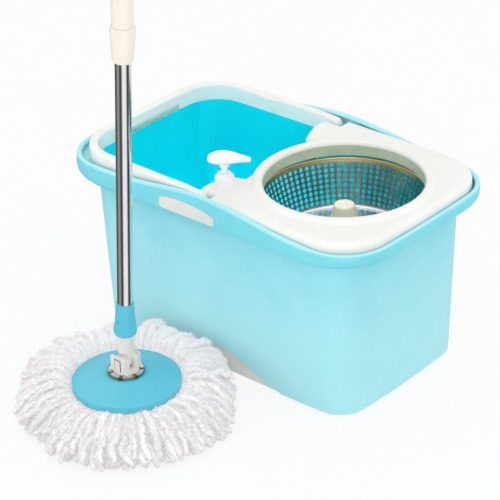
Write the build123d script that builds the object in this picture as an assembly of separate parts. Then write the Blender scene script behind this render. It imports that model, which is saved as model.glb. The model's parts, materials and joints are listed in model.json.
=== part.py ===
from build123d import *
import math
import os

# Spin mop set, millimetres. X runs along the bucket with the basket end at +X, -Y is the side where
# the mop stands, Z is up from the floor. The origin is the middle of the bucket's footprint.

# Fits
clear = 0.3
run = 0.05
swing = 0.6

# Bucket wall
foot_stand = 2.5
wall_t = 2.5
floor_t = 3.2
bot_half_len = 229.0
bot_half_wid = 132.5
bot_corner = 42.0
top_half_len = 242.5
top_half_wid = 143.3
top_corner = 60.0
bow_end = 5.0
bow_side = 4.0

# Rim: inner wall up to a land, then a skirt that hangs outside it
land_z = 260.0
land_t = 3.0
ledge_z = 248.0
step_x = 10.0
band_t = 2.8
band_sections = [
    (236.0, 256.0, 154.5, 92.0),
    (237.0, 260.0, 157.0, 88.0),
    (239.5, 264.5, 160.0, 82.0),
    (243.0, 268.0, 162.2, 77.0),
    (248.0, 270.2, 163.4, 74.0),
    (256.0, 270.4, 163.5, 72.0),
    (268.0, 269.0, 162.2, 71.0),
    (292.0, 266.0, 159.5, 70.0),
]
band_tilt = 0.6
skirt_z = band_sections[0][0]
band_far_x = band_sections[-1][1]
band_top_z = band_sections[-1][0]
wave_points = [
    (-290.0, 269.0),
    (-190.0, 269.0),
    (-130.0, 271.5),
    (-72.0, 278.0),
    (-16.0, 284.5),
    (29.0, 284.0),
    (72.0, 279.5),
    (114.0, 273.5),
    (160.0, 268.5),
    (215.0, 266.5),
    (290.0, 266.5),
]
reach_y = 200.0
reach_z = 330.0

# Arched underside and its cover
arch_half = 128.0
arch_rise = 39.0
arch_steps = 16
plinth_half_wid = 125.0
plinth_t = 3.0
plinth_end = 112.0

# Feet
foot_r = 11.0
foot_seat = 1.5
foot_x = 185.0
foot_y = 92.0

# Plates in the rim band
plate_left = -67.0
plate_right = 32.0
plate_low = 250.0
plate_points = [(-67.0, 265.5), (-48.0, 268.6), (-24.0, 270.0), (4.0, 268.0), (24.0, 264.5), (32.0, 261.5)]
plate_corner = 4.0
plate_proud = 0.6
plate_sink = 1.4

# Basket axis and cover
basket_x = 123.5
cover_half_len = 261.0
cover_half_wid = 154.5
cover_corner = 68.0
cover_top_z = 281.0
cover_t = 2.8
cover_round = 9.0
cover_left = 14.0
tail_side = 135.5
tail_points = [(-22.0, 135.5), (-22.0, 112.0), (-8.0, 76.0), (30.0, 66.0), (30.0, 135.5)]
tail_corner = 11.5
tail_low_z = 262.0
opening_r = 110.0
lip_crest_r = 116.0
lip_crest_z = 287.0
lip_round = 11.0
lip_base_r = lip_crest_r + lip_round
lip_side_z = lip_crest_z - lip_round
lip_wall_z = 270.0
lip_seam_z = 272.0
lip_in_point = (111.6, 284.8)
lip_shoulder_z = 280.0
lip_low_z = 272.5

# Carry handle
handle_half_len = 252.0
handle_half_wid = 151.0
handle_corner = 66.0
handle_w = 12.5
handle_low_z = land_z + swing
handle_top_z = 285.0
handle_t = 2.6
handle_round = 4.0
pivot_x = -10.0
pivot_z = 271.0
lug_r = pivot_z - handle_low_z
lug_slope_x = -58.0
channel_end_x = -34.0
pin_r = 3.0
pin_head_r = 5.0
pin_head_t = 1.6
pin_boss_r = 6.0
pin_in_y = 127.0
grip_half = 62.0
grip_ribs = 23
grip_rib_w = 2.6
grip_rib_h = 9.0
grip_rib_out = 2.4
grip_bar_h = 4.0

# Basket post
boss_r = 30.0
boss_top_z = 18.0
post_flange_r = 28.0
post_flange_t = 4.0
post_low_r = 20.0
post_high_r = 7.5
post_top_z = 216.0
post_t = 3.0
post_screw_ring = 23.5
post_screw_turn = 30.0
screw_r = 1.6
screw_head_r = 3.2
screw_head_h = 2.0
post_screw_len = 10.0
screw_count = 3
spindle_r = 4.0
spindle_low_z = 196.0
spindle_top_z = 240.0

# Basket
bowl_t = 1.0
bowl_floor_z = 191.0
bowl_hub_r = 16.0
bowl_floor_r = 96.0
bowl_top_r = 116.0
bowl_top_z = 258.5
bowl_bend = 5.0
bowl_seam_z = 196.4
bowl_seam_t = 0.4
rim_bead_r = 2.6
rim_bead_flat = 1.5
hole_r = 3.0
hole_rows = 8
hole_cols = 76
hole_top_z = 249.5
hole_pitch_z = 7.1
hole_reach = 6.0
floor_ring_r = 86.0
floor_ring_holes = 58
cone_flange_r = 35.0
cone_flange_t = 2.6
cone_base_r = 27.0
cone_top_r = 14.0
cone_top_z = 247.0
cone_round = 4.0
cone_t = 2.6
cone_screw_ring = 31.0
cone_screw_len = 3.4
bush_r = 8.0
bush_low_z = 224.0
thrust_r = 7.0
thrust_t = 1.6

# Soap pump
pump_x = 0.0
pump_y = -103.0
pump_turn = 38.0
bottle_r = 24.0
bottle_low_z = 150.0
bottle_round = 8.0
bottle_t = 1.6
neck_r = 11.0
neck_t = 2.0
neck_top_z = 290.0
collar_r = 13.5
collar_top_r = 8.5
collar_skirt_z = 291.5
collar_top_z = 298.0
collar_t = 1.5
gasket_t = 1.2
cyl_r = 6.5
cyl_t = 1.0
cyl_low_z = 226.0
cyl_flange_r = 10.6
cyl_flange_t = 1.2
dip_r = 2.2
dip_bore_r = 1.4
dip_low_z = 156.0
ball_r = 2.6
ball_seat_r = 1.6
stem_r = 4.2
stem_bore_r = 2.0
stem_top_z = 316.0
piston_z = 262.0
piston_h = 7.0
spring_r = 4.3
spring_wire_r = 0.45
spring_turns = 8
head_sections = [
    (-22.0, 5.0, 2.6, 319.0),
    (-18.0, 10.5, 5.4, 319.4),
    (-10.0, 14.0, 7.4, 320.0),
    (0.0, 14.4, 8.0, 320.4),
    (10.0, 12.4, 7.0, 320.0),
    (20.0, 9.0, 5.2, 319.0),
    (30.0, 6.0, 3.8, 317.6),
    (36.0, 4.4, 3.0, 316.4),
]
spout_bore_r = 1.6
head_boss_r = 7.0
head_boss_low_z = 307.4
head_boss_top_z = 320.4

# Mop head
mop_x = -28.0
mop_y = -285.0
disc_r = 74.5
disc_top_z = 51.0
disc_rise = 10.0
disc_flat_r = 30.0
disc_t = 3.0
disc_skirt_h = 11.0
disc_skirt_t = 3.0
disc_round = 1.8
disc_hub_r = 13.0
disc_crown_z = disc_top_z + disc_rise
ring_in_r = 46.0
ring_out_r = 70.0
ring_low_z = 38.0
back_in_r = 56.0
back_out_r = 68.0
back_low_z = 2.0
strand_layers = [
    (60, 0.0, [(62.0, 33.4, 4.6, 4.4), (80.0, 35.6, 5.4, 6.0), (98.0, 40.0, 6.8, 9.0), (120.0, 39.0, 8.4, 9.6),
               (138.0, 32.0, 9.4, 9.0), (149.0, 23.0, 6.0, 7.0)]),
    (60, 0.5, [(62.0, 22.0, 4.6, 4.4), (82.0, 24.0, 5.4, 6.0), (106.0, 25.4, 7.6, 8.4), (132.0, 21.0, 9.6, 8.4),
               (148.0, 13.6, 8.4, 7.0), (156.0, 9.0, 5.6, 5.0)]),
    (48, 0.25, [(62.0, 9.0, 4.6, 5.0), (90.0, 10.0, 6.4, 6.4), (124.0, 8.4, 8.6, 6.6), (146.0, 3.4, 8.6, 6.0),
                (157.0, 2.4, 5.6, 4.0)]),
]

# Yoke and swivel
flange_r = 18.0
flange_t = 5.0
swivel_ring_r = 25.5
swivel_ring_h = 4.4
hub_r = 12.6
hub_bore_r = 5.0
hub_bore_end = 1.0
retainer_r = 20.0
retainer_t = 3.0
fork_half_wid = 14.5
fork_half_deep = 12.0
fork_slot = 4.6
fork_floor_h = 3.0
tilt_z = 78.5
tilt_pin_r = 3.5
fork_r = 11.5

# Pole, built upright and leaned about the tilt pin
lean = 4.0
tongue_half = 4.0
tongue_r = 8.5
tongue_top_z = 108.0
neck_low_z = 94.5
neck_top_pole_z = 122.5
neck_low_r = 10.5
neck_high_r = 12.6
tube_r = 10.5
tube_t = 0.8
tube_low_z = 127.0
tube_top_z = 760.0
ferrule_points = [(13.4, 122.5), (15.4, 125.0), (15.2, 132.0), (13.2, 152.0), (12.0, 171.0)]
ferrule_plug_r = 9.6
ferrule_plug_z = 161.0
rivet_r = 2.0
rivet_z = 146.0
upper_r = 12.5
upper_t = 0.8
upper_low_z = 543.0
upper_top_z = 1150.0
bush_len = 34.0
sleeve_r = 14.3
sleeve_low_z = 555.0
sleeve_top_z = 739.0
sleeve_round = 0.7
sleeve_spigot_r = 13.6
sleeve_spigot_z = 577.0
collar_low_z = 528.0
collar_low_r = 13.8
collar_high_r = 16.6
collar_shoulder_z = 570.0
collar_lip = 1.8
lock_ring_h = 8.0
lock_ring_z = 532.0
top_grip_r = 14.6
top_grip_round = 7.3
top_grip_lip = 1.0
top_grip_low_z = 1060.0
top_grip_top_z = 1190.0
hang_hole_r = 6.0
hang_hole_z = 1172.0
rod_w = 9.0
rod_t = 3.0
rod_pitch = 80.0
rod_low_z = 716.0
rod_top_z = 976.0
plug_h = 24.0
plug_bore = 12.0
nut_h = 6.0
nut_flange_h = 2.0


def plan(half_len, half_wid, corner, grow=0.0):
    """Rounded rectangle with bowed sides, seen from above."""
    far_x = half_len + grow
    far_y = half_wid + grow
    x = far_x - bow_end
    y = far_y - bow_side
    sides = [
        ThreePointArc((-x, -y), (0, -far_y), (x, -y)),
        ThreePointArc((x, -y), (far_x, 0), (x, y)),
        ThreePointArc((x, y), (0, far_y), (-x, y)),
        ThreePointArc((-x, y), (-far_x, 0), (-x, -y)),
    ]
    face = make_face(sides)
    return fillet(face.vertices(), corner + grow)


def wall_plan(z, grow=0.0):
    """Section of the tapered bucket wall at height z."""
    share = (z - foot_stand) / (land_z - foot_stand)
    half_len = bot_half_len + share * (top_half_len - bot_half_len)
    half_wid = bot_half_wid + share * (top_half_wid - bot_half_wid)
    corner = bot_corner + share * (top_corner - bot_corner)
    return Pos(0, 0, z) * plan(half_len, half_wid, corner, grow)


def wall_solid(low, high, grow=0.0):
    return loft([wall_plan(low, grow), wall_plan(high, grow)], ruled=True)


def band_solid(grow=0.0, drop=0.0):
    """Bulged band of the rim, tilted up toward the basket; drop carries its lower end further down."""
    faces = [Pos(0, 0, z) * plan(a, b, c, grow) for z, a, b, c in band_sections]
    body = loft(faces, ruled=True)
    if drop > 0:
        z, a, b, c = band_sections[0]
        body = body + extrude(Pos(0, 0, z) * plan(a, b, c, grow), amount=-drop)
    return Pos(-band_far_x, 0, skirt_z) * Rot(0, -band_tilt, 0) * Pos(band_far_x, 0, -skirt_z) * body


def span_box(x0, x1, y0, y1, z0, z1):
    return Pos((x0 + x1) / 2, (y0 + y1) / 2, (z0 + z1) / 2) * Box(x1 - x0, y1 - y0, z1 - z0)


def side_prism(face_xz, y0, y1):
    """Extrude a face drawn in X-Z between two Y values."""
    lying = Plane.XZ * face_xz
    return Pos(0, y0, 0) * extrude(lying, amount=-(y1 - y0))


def polygon(points):
    return make_face(Polyline(*points, close=True))


def turned(points):
    """Solid of revolution about Z from a closed r-z polygon."""
    return revolve(Plane.XZ * polygon(points), Axis.Z)


def tube(r_out, r_in, z0, z1):
    ring = Circle(r_out) - Circle(r_in)
    return Pos(0, 0, z0) * extrude(ring, amount=z1 - z0)


def rod(r, z0, z1):
    return Pos(0, 0, z0) * extrude(Circle(r), amount=z1 - z0)


def y_rod(r, y0, y1, x=0.0, z=0.0):
    return Pos(x, (y0 + y1) / 2, z) * Rot(90, 0, 0) * Cylinder(r, abs(y1 - y0))


def ring_spots(count, radius, start=0.0):
    step = 360.0 / count
    return [Rot(0, 0, start + k * step) * Pos(radius, 0, 0) for k in range(count)]


def arch_solid(half_wid, grow=0.0):
    """Tunnel under the bucket: a raised cosine swept across the width."""
    points = []
    for k in range(arch_steps + 1):
        x = -arch_half + 2 * arch_half * k / arch_steps
        rise = arch_rise / 2 * (1 + math.cos(math.pi * x / arch_half))
        points.append((x, foot_stand + rise + grow))
    top = Spline(*points, tangents=((1, 0), (1, 0)))
    low = foot_stand - floor_t
    sides = [
        top,
        Line(points[-1], (arch_half, low)),
        Line((arch_half, low), (-arch_half, low)),
        Line((-arch_half, low), points[0]),
    ]
    return side_prism(make_face(sides), -half_wid, half_wid)


def plate_face(grow=0.0):
    """Outline of the plate in the rim band, seen from the side."""
    upper = [(x, z + grow) for x, z in plate_points]
    upper[0] = (plate_left - grow, upper[0][1])
    upper[-1] = (plate_right + grow, upper[-1][1])
    low = plate_low - grow
    sides = [
        Spline(*upper),
        Line(upper[-1], (plate_right + grow, low)),
        Line((plate_right + grow, low), (plate_left - grow, low)),
        Line((plate_left - grow, low), upper[0]),
    ]
    face = make_face(sides)
    return fillet(face.vertices(), plate_corner + grow)


def wave_cut():
    """Everything above the wavy top edge of the rim band."""
    first = wave_points[0]
    last = wave_points[-1]
    sides = [
        Spline(*wave_points, tangents=((1, 0), (1, 0))),
        Line(last, (last[0], reach_z)),
        Line((last[0], reach_z), (first[0], reach_z)),
        Line((first[0], reach_z), first),
    ]
    return side_prism(make_face(sides), -reach_y, reach_y)


def post_screw_spots():
    return [Pos(basket_x, 0, 0) * spot for spot in ring_spots(screw_count, post_screw_ring, post_screw_turn)]


def foot_spots():
    return [Pos(sx * foot_x, sy * foot_y, 0) for sx in (-1, 1) for sy in (-1, 1)]


def bucket_shell():
    outside = wall_solid(foot_stand, land_z) + band_solid()
    hump = arch_solid(reach_y, floor_t)
    boss = Pos(basket_x, 0, 0) * rod(boss_r, 0, boss_top_z)
    inside = wall_solid(foot_stand + floor_t, band_top_z, -wall_t) - hump - boss
    band_room = band_solid(-band_t, floor_t)
    far = 2 * reach_z
    wash_room = band_room & span_box(-far, step_x, -far, far, land_z, far)
    cover_room = band_room & span_box(step_x, far, -far, far, ledge_z, far)
    under = span_box(-far, step_x - land_t, -far, far, skirt_z - floor_t, land_z - land_t)
    pocket = (band_room & under) - wall_solid(foot_stand, land_z)
    body = outside - inside
    body = body - wash_room - cover_room - pocket
    body = body - wave_cut() - arch_solid(reach_y)
    skin = band_solid(-plate_sink - clear)
    for y0, y1 in ((-reach_y, 0), (0, reach_y)):
        body = body - (side_prism(plate_face(clear), y0, y1) - skin)
    for spot in foot_spots():
        body = body - spot * rod(foot_r + clear, 0, foot_stand + foot_seat)
    for spot in post_screw_spots():
        body = body - spot * rod(screw_r + run, boss_top_z - post_screw_len, boss_top_z)
    return body


def base_plinth():
    """Open tray in the arch: a floor plate and two arched side panels."""
    far = 2 * reach_z
    block = arch_solid(plinth_half_wid, -clear) & span_box(-plinth_end, plinth_end, -far, far, 0, far)
    in_y = plinth_half_wid - plinth_t
    return block - span_box(-far, far, -in_y, in_y, plinth_t, far)


def base_feet():
    pads = [spot * rod(foot_r, 0, foot_stand + foot_seat) for spot in foot_spots()]
    return Compound(children=pads)


def side_plate(y0, y1):
    shell = band_solid(plate_proud) - band_solid(-plate_sink)
    return shell & side_prism(plate_face(), y0, y1)


def tail_face(side):
    points = [(x, side * y) for x, y in tail_points]
    face = polygon(points)
    corners = [v for v in face.vertices() if v.X < 0]
    return fillet(corners, tail_corner)


def cover_block(inset, low, high, edge_r):
    """Rounded block of the cover, or with an inset the hollow inside it."""
    left = cover_left + inset
    right = Pos(left + reach_z, 0) * Rectangle(2 * reach_z, 2 * reach_z)
    main = plan(cover_half_len, cover_half_wid, cover_corner, -inset) & right
    body = extrude(main, amount=high - low)
    top_edges = [e for e in body.edges().group_by(Axis.Z)[-1] if e.center().X > left + clear]
    body = fillet(top_edges, edge_r)
    for side in (-1, 1):
        tail = extrude(offset(tail_face(side), -inset), amount=high - low)
        body = body + fillet(tail.edges().group_by(Axis.Z)[-1], edge_r)
    body = Pos(0, 0, low) * body
    return body + Pos(basket_x, 0, 0) * rod(lip_base_r - clear - inset, low, lip_side_z - inset)


def lip_ring():
    """Raised channel round the opening, one wall thick."""
    slant = math.sqrt(0.5)
    thin = lip_round - cover_t
    crest = (lip_crest_r, lip_crest_z)
    under = (lip_crest_r, lip_crest_z - cover_t)
    out_point = (lip_crest_r + lip_round * slant, lip_side_z + lip_round * slant)
    under_point = (lip_crest_r + thin * slant, lip_side_z + thin * slant)
    side = (lip_base_r, lip_side_z)
    side_in = (lip_base_r - cover_t, lip_side_z)
    in_r = opening_r + cover_t
    sides = [
        Line((opening_r, lip_low_z), (opening_r, lip_shoulder_z)),
        ThreePointArc((opening_r, lip_shoulder_z), lip_in_point, crest),
        ThreePointArc(crest, out_point, side),
        Line(side, (lip_base_r, lip_wall_z)),
        Line((lip_base_r, lip_wall_z), (lip_base_r - cover_t, lip_wall_z)),
        Line((lip_base_r - cover_t, lip_wall_z), side_in),
        ThreePointArc(side_in, under_point, under),
        Line(under, (in_r, lip_shoulder_z)),
        Line((in_r, lip_shoulder_z), (in_r, lip_low_z)),
        Line((in_r, lip_low_z), (opening_r, lip_low_z)),
    ]
    return Pos(basket_x, 0, 0) * revolve(Plane.XZ * make_face(sides), Axis.Z)


def basket_cover():
    low = ledge_z + clear
    body = cover_block(0, low, cover_top_z, cover_round)
    body = body - cover_block(cover_t, low - cover_t, cover_top_z - cover_t, cover_round - cover_t)
    far = 2 * reach_z
    body = body - span_box(-far, cover_left - cover_t, -far, far, 0, tail_low_z)
    body = body - Pos(basket_x, 0, 0) * rod(lip_base_r - cover_t / 2, lip_seam_z, reach_z)
    body = body + lip_ring()
    for side in (-1, 1):
        y_in = side * pin_in_y
        y_out = side * (tail_side - cover_t + clear)
        body = body + y_rod(pin_boss_r, y_in, y_out, pivot_x, pivot_z)
        body = body - y_rod(pin_r + run, y_in, side * reach_y, pivot_x, pivot_z)
    body = body - Pos(pump_x, pump_y, 0) * rod(neck_r + clear, 0, reach_z)
    return body


def handle_ring(grow_out, grow_in, z0, z1):
    outer = plan(handle_half_len, handle_half_wid, handle_corner, grow_out)
    inner = plan(handle_half_len, handle_half_wid, handle_corner, -handle_w + grow_in)
    return Pos(0, 0, z0) * extrude(outer - inner, amount=z1 - z0)


def carry_handle():
    ring = handle_ring(0, 0, handle_low_z, handle_top_z)
    ring = fillet(ring.edges().group_by(Axis.Z)[-1], handle_round)
    far = 2 * reach_z
    lug_top = pivot_z + lug_r
    sides = [
        Line((-far, handle_low_z), (pivot_x, handle_low_z)),
        ThreePointArc((pivot_x, handle_low_z), (pivot_x + lug_r, pivot_z), (pivot_x, lug_top)),
        Line((pivot_x, lug_top), (lug_slope_x, handle_top_z)),
        Line((lug_slope_x, handle_top_z), (-far, handle_top_z)),
        Line((-far, handle_top_z), (-far, handle_low_z)),
    ]
    body = ring & side_prism(make_face(sides), -reach_y, reach_y)
    channel = handle_ring(-handle_t, handle_t, handle_low_z - clear, handle_top_z - handle_t - handle_round)
    body = body - (channel & span_box(-far, channel_end_x, -far, far, 0, far))
    for side in (-1, 1):
        body = body - y_rod(pin_r, side * pin_in_y, side * reach_y, pivot_x, pivot_z)
        y_face = side * (handle_half_wid - pin_head_t)
        body = body - y_rod(pin_head_r + run, y_face, side * reach_y, pivot_x, pivot_z)
    return body


def handle_pins():
    pins = []
    for side in (-1, 1):
        y_face = side * (handle_half_wid - pin_head_t)
        pin = y_rod(pin_r, side * (pin_in_y + clear), y_face, pivot_x, pivot_z)
        head = y_rod(pin_head_r, y_face, side * (handle_half_wid - clear), pivot_x, pivot_z)
        pins.append(pin + head)
    return Compound(children=pins)


def handle_grip():
    """Ribbed strip on the inner face of the handle's cross bar."""
    seat = -handle_w - clear
    inner = plan(handle_half_len, handle_half_wid, handle_corner, seat)
    deeper = plan(handle_half_len, handle_half_wid, handle_corner, seat - grip_rib_out)
    strip = extrude(inner - deeper, amount=grip_rib_h)
    far = 2 * reach_z
    bar = strip & span_box(-far, 0, -grip_half, grip_half, grip_rib_h - grip_bar_h, grip_rib_h)
    body = bar
    for k in range(grip_ribs):
        y = -grip_half + grip_rib_w / 2 + k * (2 * grip_half - grip_rib_w) / (grip_ribs - 1)
        body = body + (strip & span_box(-far, 0, y - grip_rib_w / 2, y + grip_rib_w / 2, 0, grip_rib_h))
    return Pos(0, 0, handle_low_z + clear) * body


def basket_post():
    low = boss_top_z
    body = turned([
        (0, low), (post_flange_r, low), (post_flange_r, low + post_flange_t), (post_low_r, low + post_flange_t),
        (post_high_r, post_top_z), (0, post_top_z),
    ])
    hollow_top = spindle_low_z - post_t
    body = body - turned([(0, low), (post_low_r - post_t, low), (post_high_r - post_t, hollow_top), (0, hollow_top)])
    body = body - rod(spindle_r, spindle_low_z, post_top_z)
    for spot in ring_spots(screw_count, post_screw_ring, post_screw_turn):
        body = body - spot * rod(screw_r + run, low, post_top_z)
        body = body - spot * rod(screw_head_r + clear, low + post_flange_t, post_top_z)
    return Pos(basket_x, 0, 0) * body


def screw(length, top_z):
    return rod(screw_r, top_z - length, top_z) + rod(screw_head_r, top_z, top_z + screw_head_h)


def post_screws():
    top = boss_top_z + post_flange_t
    length = post_screw_len + post_flange_t - clear
    return Compound(children=[spot * screw(length, top) for spot in post_screw_spots()])


def spindle_pin():
    return Pos(basket_x, 0, 0) * rod(spindle_r, spindle_low_z, spindle_top_z)


def bowl_r(z):
    """Outer radius of the tapered basket wall at height z."""
    share = (z - bowl_floor_z) / (bowl_top_z - bowl_floor_z)
    return bowl_floor_r + share * (bowl_top_r - bowl_floor_r)


def bowl_corner(k, r, z):
    half = math.pi / hole_cols
    far = r / math.cos(half)
    turn = (2 * k + 1) * half
    return (far * math.cos(turn), far * math.sin(turn), z)


def bowl_wall(low, high):
    """Sheet wall with one flat facet for each column of holes."""
    out_low = (bowl_r(low), low)
    out_high = (bowl_r(high), high)
    in_high = (bowl_r(high) - bowl_t, high)
    in_low = (bowl_r(low) - bowl_t, low)
    bands = [(out_low, out_high), (out_high, in_high), (in_high, in_low), (in_low, out_low)]
    faces = []
    for k in range(hole_cols):
        for first, second in bands:
            corners = [bowl_corner(k, *first), bowl_corner(k + 1, *first)]
            corners += [bowl_corner(k + 1, *second), bowl_corner(k, *second)]
            faces.append(make_face(Polyline(*corners, close=True)))
    return Solid(Shell(faces))


def bowl_floor():
    """Floor plate with a bent-up ring that takes the lower edge of the wall."""
    t = bowl_t
    low = bowl_floor_z
    out_r = bowl_r(bowl_seam_z) + bowl_seam_t
    in_r = bowl_r(bowl_seam_z) - t - bowl_seam_t
    face = polygon([
        (bowl_hub_r, low), (out_r, low), (out_r, bowl_seam_z), (in_r, bowl_seam_z), (in_r, low + t), (bowl_hub_r, low + t),
    ])
    outer = [v for v in face.vertices() if v.X > out_r - run and v.Y < low + run]
    face = fillet(outer, bowl_bend)
    inner = [v for v in face.vertices() if abs(v.X - in_r) < run and abs(v.Y - low - t) < run]
    face = fillet(inner, bowl_bend - t)
    return revolve(Plane.XZ * face, Axis.Z)


def bowl_bead():
    """Rolled rim with a flat underside where the wall runs into it."""
    middle = Pos(bowl_top_r - bowl_t / 2, bowl_top_z) * Circle(rim_bead_r)
    above = Pos(bowl_top_r, bowl_top_z - rim_bead_flat + rim_bead_r) * Rectangle(bowl_top_r, 2 * rim_bead_r)
    return revolve(Plane.XZ * (middle & above), Axis.Z)


def basket_bowl():
    t = bowl_t
    floor_z = bowl_floor_z
    body = bowl_wall(bowl_seam_z - bowl_seam_t, bowl_top_z) + bowl_floor() + bowl_bead()
    slope = math.degrees(math.atan2(bowl_top_r - bowl_floor_r, bowl_top_z - bowl_floor_z))
    drills = []
    for row in range(hole_rows):
        z = hole_top_z - row * hole_pitch_z
        for spot in ring_spots(hole_cols, bowl_r(z)):
            drills.append(Pos(0, 0, z) * spot * Rot(0, 90 + slope, 0) * Cylinder(hole_r, hole_reach))
    for spot in ring_spots(floor_ring_holes, floor_ring_r):
        drills.append(spot * rod(hole_r, floor_z - t, floor_z + 2 * t))
    for spot in ring_spots(screw_count, cone_screw_ring):
        drills.append(spot * rod(screw_r + run, floor_z - t, floor_z + 2 * t))
    return Pos(basket_x, 0, 0) * body.cut(*drills)


def basket_cone():
    low = bowl_floor_z + bowl_t
    outer = polygon([
        (0, low), (cone_flange_r, low), (cone_flange_r, low + cone_flange_t), (cone_base_r, low + cone_flange_t),
        (cone_top_r, cone_top_z), (0, cone_top_z),
    ])
    crown = [v for v in outer.vertices() if v.X > cone_t and v.Y > cone_top_z - cone_t]
    outer = fillet(crown, cone_round)
    body = revolve(Plane.XZ * outer, Axis.Z)
    thrust_z = spindle_top_z + run
    bore_top = bush_low_z
    body = body - turned([(0, low), (cone_base_r - cone_t, low), (bush_r + clear, bore_top), (0, bore_top)])
    body = body - rod(bush_r, bush_low_z - clear, thrust_z)
    body = body - rod(thrust_r, thrust_z - run, thrust_z + thrust_t)
    for spot in ring_spots(screw_count, cone_screw_ring):
        body = body - spot * rod(screw_r + run, low, low + 2 * cone_flange_t)
    return Pos(basket_x, 0, 0) * body


def cone_screws():
    top = bowl_floor_z + bowl_t + cone_flange_t
    spots = ring_spots(screw_count, cone_screw_ring)
    return Compound(children=[Pos(basket_x, 0, 0) * spot * screw(cone_screw_len, top) for spot in spots])


def basket_bush():
    return Pos(basket_x, 0, 0) * tube(bush_r, spindle_r + run, bush_low_z, spindle_top_z + run)


def thrust_disc():
    low = spindle_top_z + run
    return Pos(basket_x, 0, 0) * rod(thrust_r, low, low + thrust_t)


def at_pump(shape):
    return Pos(pump_x, pump_y, 0) * shape


def soap_bottle():
    shoulder = tail_low_z - clear
    body = rod(bottle_r, bottle_low_z, shoulder)
    body = fillet(body.edges().filter_by(GeomType.CIRCLE), bottle_round)
    room = rod(bottle_r - bottle_t, bottle_low_z + bottle_t, shoulder - bottle_t)
    room = fillet(room.edges().filter_by(GeomType.CIRCLE), bottle_round - bottle_t)
    body = body - room
    body = body + rod(neck_r, shoulder - bottle_t, neck_top_z)
    body = body - rod(neck_r - neck_t, shoulder - 2 * bottle_t, neck_top_z)
    return at_pump(body)


def pump_collar():
    low = cover_top_z
    outer = polygon([
        (0, low), (collar_r, low), (collar_r, collar_skirt_z), (collar_top_r, collar_top_z), (0, collar_top_z),
    ])
    edge = [v for v in outer.vertices() if v.X > collar_t and v.Y > low + collar_t]
    body = revolve(Plane.XZ * fillet(edge, collar_t), Axis.Z)
    inside = neck_top_z + gasket_t + cyl_flange_t
    body = body - rod(neck_r + clear, low, inside)
    body = body - rod(stem_r + clear, inside, collar_top_z)
    return at_pump(body)


def pump_gasket():
    return at_pump(tube(neck_r, cyl_r + clear, neck_top_z, neck_top_z + gasket_t))


def pump_cylinder():
    high = neck_top_z + gasket_t
    body = rod(cyl_r, cyl_low_z, high) + rod(cyl_flange_r, high, high + cyl_flange_t)
    seat_z = cyl_low_z + 2 * ball_r
    body = body - rod(cyl_r - cyl_t, seat_z, high + cyl_flange_t)
    body = body - rod(ball_seat_r, cyl_low_z, seat_z)
    body = body - rod(dip_r, cyl_low_z, cyl_low_z + ball_r)
    return at_pump(body)


def dip_tube():
    return at_pump(tube(dip_r, dip_bore_r, dip_low_z, cyl_low_z + ball_r))


def valve_ball():
    rise = math.sqrt(ball_r ** 2 - ball_seat_r ** 2)
    return at_pump(Pos(0, 0, cyl_low_z + 2 * ball_r + rise + run) * Sphere(ball_r))


def pump_spring():
    low = cyl_low_z + 2 * ball_r + spring_wire_r + clear
    high = piston_z - spring_wire_r - clear
    pitch = (high - low) / spring_turns
    path = Helix(pitch, pitch * spring_turns, spring_r)
    start = Plane(origin=path @ 0, z_dir=path % 0)
    return at_pump(Pos(0, 0, low) * sweep(start * Circle(spring_wire_r), path=path))


def pump_stem():
    body = rod(stem_r, piston_z, stem_top_z) - rod(stem_bore_r, piston_z, stem_top_z - stem_bore_r)
    return at_pump(body)


def pump_piston():
    return at_pump(tube(cyl_r - cyl_t - run, stem_r + run, piston_z, piston_z + piston_h))


def pump_head():
    faces = []
    for x, half_wid, half_high, z in head_sections:
        faces.append(Pos(x, 0, z) * (Plane.YZ * Ellipse(half_wid, half_high)))
    body = loft(faces)
    body = body + rod(head_boss_r, head_boss_low_z, head_boss_top_z)
    body = body - rod(stem_r, 0, stem_top_z)
    tip_x, _, _, tip_z = head_sections[-1]
    spout = Rot(0, 90, 0) * Cylinder(spout_bore_r, tip_x)
    body = body - Pos(tip_x, 0, tip_z) * spout
    return at_pump(Rot(0, 0, pump_turn) * body)


def at_mop(shape):
    return Pos(mop_x, mop_y, 0) * shape


def disc_under(r):
    """Height of the disc's sloping underside at a radius."""
    share = (disc_r - r) / (disc_r - disc_flat_r)
    return disc_top_z + share * disc_rise - disc_t


def mop_disc():
    low = disc_top_z - disc_skirt_h
    outer = polygon([
        (disc_hub_r, low), (disc_r, low), (disc_r, disc_top_z), (disc_flat_r, disc_crown_z), (disc_hub_r, disc_crown_z),
    ])
    edge = [v for v in outer.vertices() if v.X > disc_r - disc_t and v.Y > disc_top_z - disc_t]
    body = revolve(Plane.XZ * fillet(edge, disc_round), Axis.Z)
    wall_r = disc_r - disc_skirt_t
    room = turned([
        (0, low), (wall_r, low), (wall_r, disc_under(wall_r)), (disc_flat_r, disc_under(disc_flat_r)),
        (0, disc_under(disc_flat_r)),
    ])
    return at_mop(body - room)


def swivel_ring():
    return at_mop(tube(swivel_ring_r, flange_r + clear, disc_crown_z, disc_crown_z + swivel_ring_h))


def strand_ring():
    return at_mop(turned([
        (ring_in_r, ring_low_z), (ring_out_r, ring_low_z), (ring_out_r, disc_under(ring_out_r)),
        (ring_in_r, disc_under(ring_in_r)),
    ]))


def strand(stations):
    faces = []
    for r, z, wid, high in stations:
        faces.append(Pos(r, 0, z) * (Plane.YZ * Rectangle(wid, high)))
    return loft(faces, ruled=True)


def mop_strands():
    back = tube(back_out_r, back_in_r, back_low_z, ring_low_z)
    strands = []
    for count, shift, stations in strand_layers:
        one = strand(stations)
        step = 360.0 / count
        for k in range(count):
            strands.append(Rot(0, 0, (k + shift) * step) * one)
    return at_mop(back.fuse(*strands))


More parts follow.
